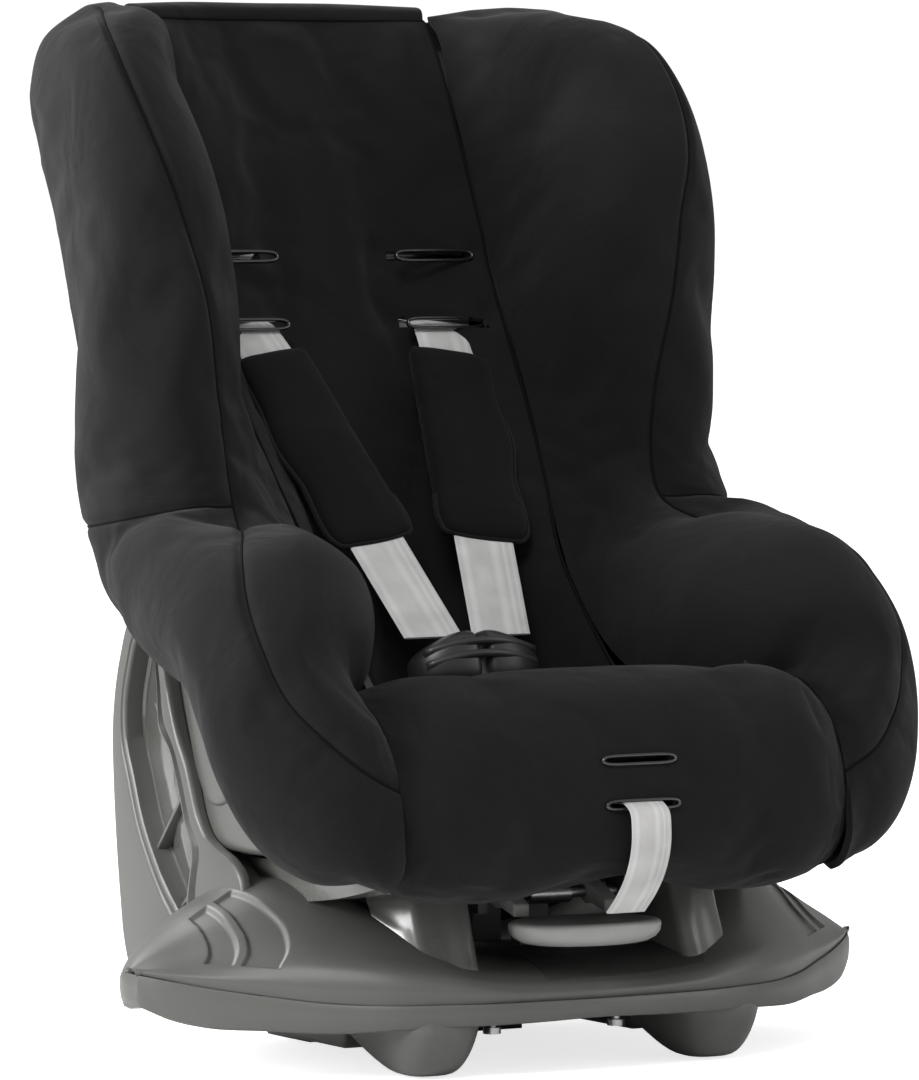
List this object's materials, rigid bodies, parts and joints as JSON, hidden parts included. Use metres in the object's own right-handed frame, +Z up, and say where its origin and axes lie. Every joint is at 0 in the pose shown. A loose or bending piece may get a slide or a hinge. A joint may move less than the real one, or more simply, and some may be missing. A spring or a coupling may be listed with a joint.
{
  "type": "toddler car seat",
  "caption": "Forward-facing toddler car seat: padded bucket shell with deep side wings and a harness, sliding on a curved-rail recline base.",
  "frame": {"origin": "on the floor under the middle of the bounding box", "axes": "+Z up, -Y towards the front of the seat, +X towards the right of a person facing it"},
  "size_m": [0.464, 0.4732, 0.5935],
  "materials": {
    "cover_fabric": "soft black knitted cloth over foam",
    "pad_fabric": "smooth black padded cloth with piped edge",
    "webbing": "woven polyester webbing, light warm grey",
    "shell_grey": "satin moulded plastic",
    "shell_dark": "matt moulded plastic",
    "base_plastic": "satin moulded plastic, warm grey",
    "lever_grey": "satin moulded plastic, light grey",
    "buckle_plastic": "fine-grained moulded plastic",
    "button_red": "gloss moulded plastic",
    "steel": "zinc-plated steel",
    "trim_gloss": "gloss black moulded plastic",
    "heel_rubber": "soft matt rubber"
  },
  "bodies": {
    "base": {"base_bottom_shell": "base_plastic", "base_cross_beam": "base_plastic", "base_rear_panel": "base_plastic", "base_screws": "steel", "base_top_cover": "base_plastic", "base_upright_left": "base_plastic", "base_upright_right": "base_plastic", "clamp_pin_left": "steel", "clamp_pin_right": "steel", "front_foot_left": "base_plastic", "front_foot_right": "base_plastic", "guide_rail_left": "base_plastic", "guide_rail_right": "base_plastic", "rear_heel": "heel_rubber", "recline_rack": "steel"},
    "seat": {"adjuster_housing": "buckle_plastic", "adjuster_strap": "webbing", "back_slot_trims": "trim_gloss", "back_strap_left": "webbing", "back_strap_right": "webbing", "buckle_housing": "buckle_plastic", "cover_back_panel": "cover_fabric", "cover_front_panel": "cover_fabric", "cover_side_left": "cover_fabric", "cover_side_right": "cover_fabric", "cover_top_band": "cover_fabric", "cover_wing_left": "cover_fabric", "cover_wing_right": "cover_fabric", "crotch_strap": "webbing", "front_slot_trims": "trim_gloss", "lap_strap_left": "webbing", "lap_strap_right": "webbing", "lever_bracket": "steel", "lever_pin": "steel", "lever_spring": "steel", "pawl_guide": "shell_dark", "rail_glide_left": "shell_dark", "rail_glide_right": "shell_dark", "seat_cushion": "cover_fabric", "seat_shell": "shell_dark", "shell_side_panel_left": "shell_grey", "shell_side_panel_right": "shell_grey", "shoulder_strap_left": "webbing", "shoulder_strap_right": "webbing", "strap_yoke": "steel", "tongue_left": "steel", "tongue_right": "steel", "yoke_strap": "webbing"},
    "recline_lever": {"recline_lever": "lever_grey"},
    "lock_pawl": {"lock_pawl": "steel"},
    "buckle_button": {"buckle_button": "button_red"},
    "adjuster_button": {"adjuster_button": "buckle_plastic"},
    "shoulder_pad_left": {"shoulder_pad_left": "pad_fabric"},
    "shoulder_pad_right": {"shoulder_pad_right": "pad_fabric"},
    "belt_clamp_left": {"belt_clamp_left": "button_red"},
    "belt_clamp_right": {"belt_clamp_right": "button_red"}
  },
  "joints": [
    {"name": "recline", "type": "hinge", "parent": "base", "child": "seat", "pos_m": [0, -0.04, 0.62], "axis": [-1, 0, 0], "range_deg": [0, 9]},
    {"name": "lever_pull", "type": "hinge", "parent": "seat", "child": "recline_lever", "pos_m": [0, -0.112, 0.094], "axis": [-1, 0, 0], "range_deg": [0, 10], "stiffness_Nm_per_rad": 1, "springref_deg": -11.46},
    {"name": "pawl_lift", "type": "slide", "parent": "seat", "child": "lock_pawl", "axis": [0, 0, 1], "range_m": [0, 0.0062]},
    {"name": "buckle_press", "type": "slide", "parent": "seat", "child": "buckle_button", "axis": [0, 0.9703, -0.2419], "range_m": [0, 0.004], "stiffness_N_per_m": 400, "springref_m": -0.002},
    {"name": "adjuster_press", "type": "slide", "parent": "seat", "child": "adjuster_button", "axis": [0, 1, 0], "range_m": [0, 0.005], "stiffness_N_per_m": 400, "springref_m": -0.002},
    {"name": "pad_slide_left", "type": "slide", "parent": "seat", "child": "shoulder_pad_left", "axis": [0.1891, -0.6156, -0.7651], "range_m": [0, 0.022]},
    {"name": "pad_slide_right", "type": "slide", "parent": "seat", "child": "shoulder_pad_right", "axis": [-0.1891, -0.6156, -0.7651], "range_m": [0, 0.022]},
    {"name": "clamp_swing_left", "type": "hinge", "parent": "base", "child": "belt_clamp_left", "pos_m": [-0.136, 0.098, 0.226], "axis": [1, 0, 0], "range_deg": [0, 70]},
    {"name": "clamp_swing_right", "type": "hinge", "parent": "base", "child": "belt_clamp_right", "pos_m": [0.136, 0.098, 0.226], "axis": [1, 0, 0], "range_deg": [0, 70]}
  ],
  "couplings": [
    {"joint": "pawl_lift", "follows": "lever_pull", "m_per_rad": 0.035}
  ]
}
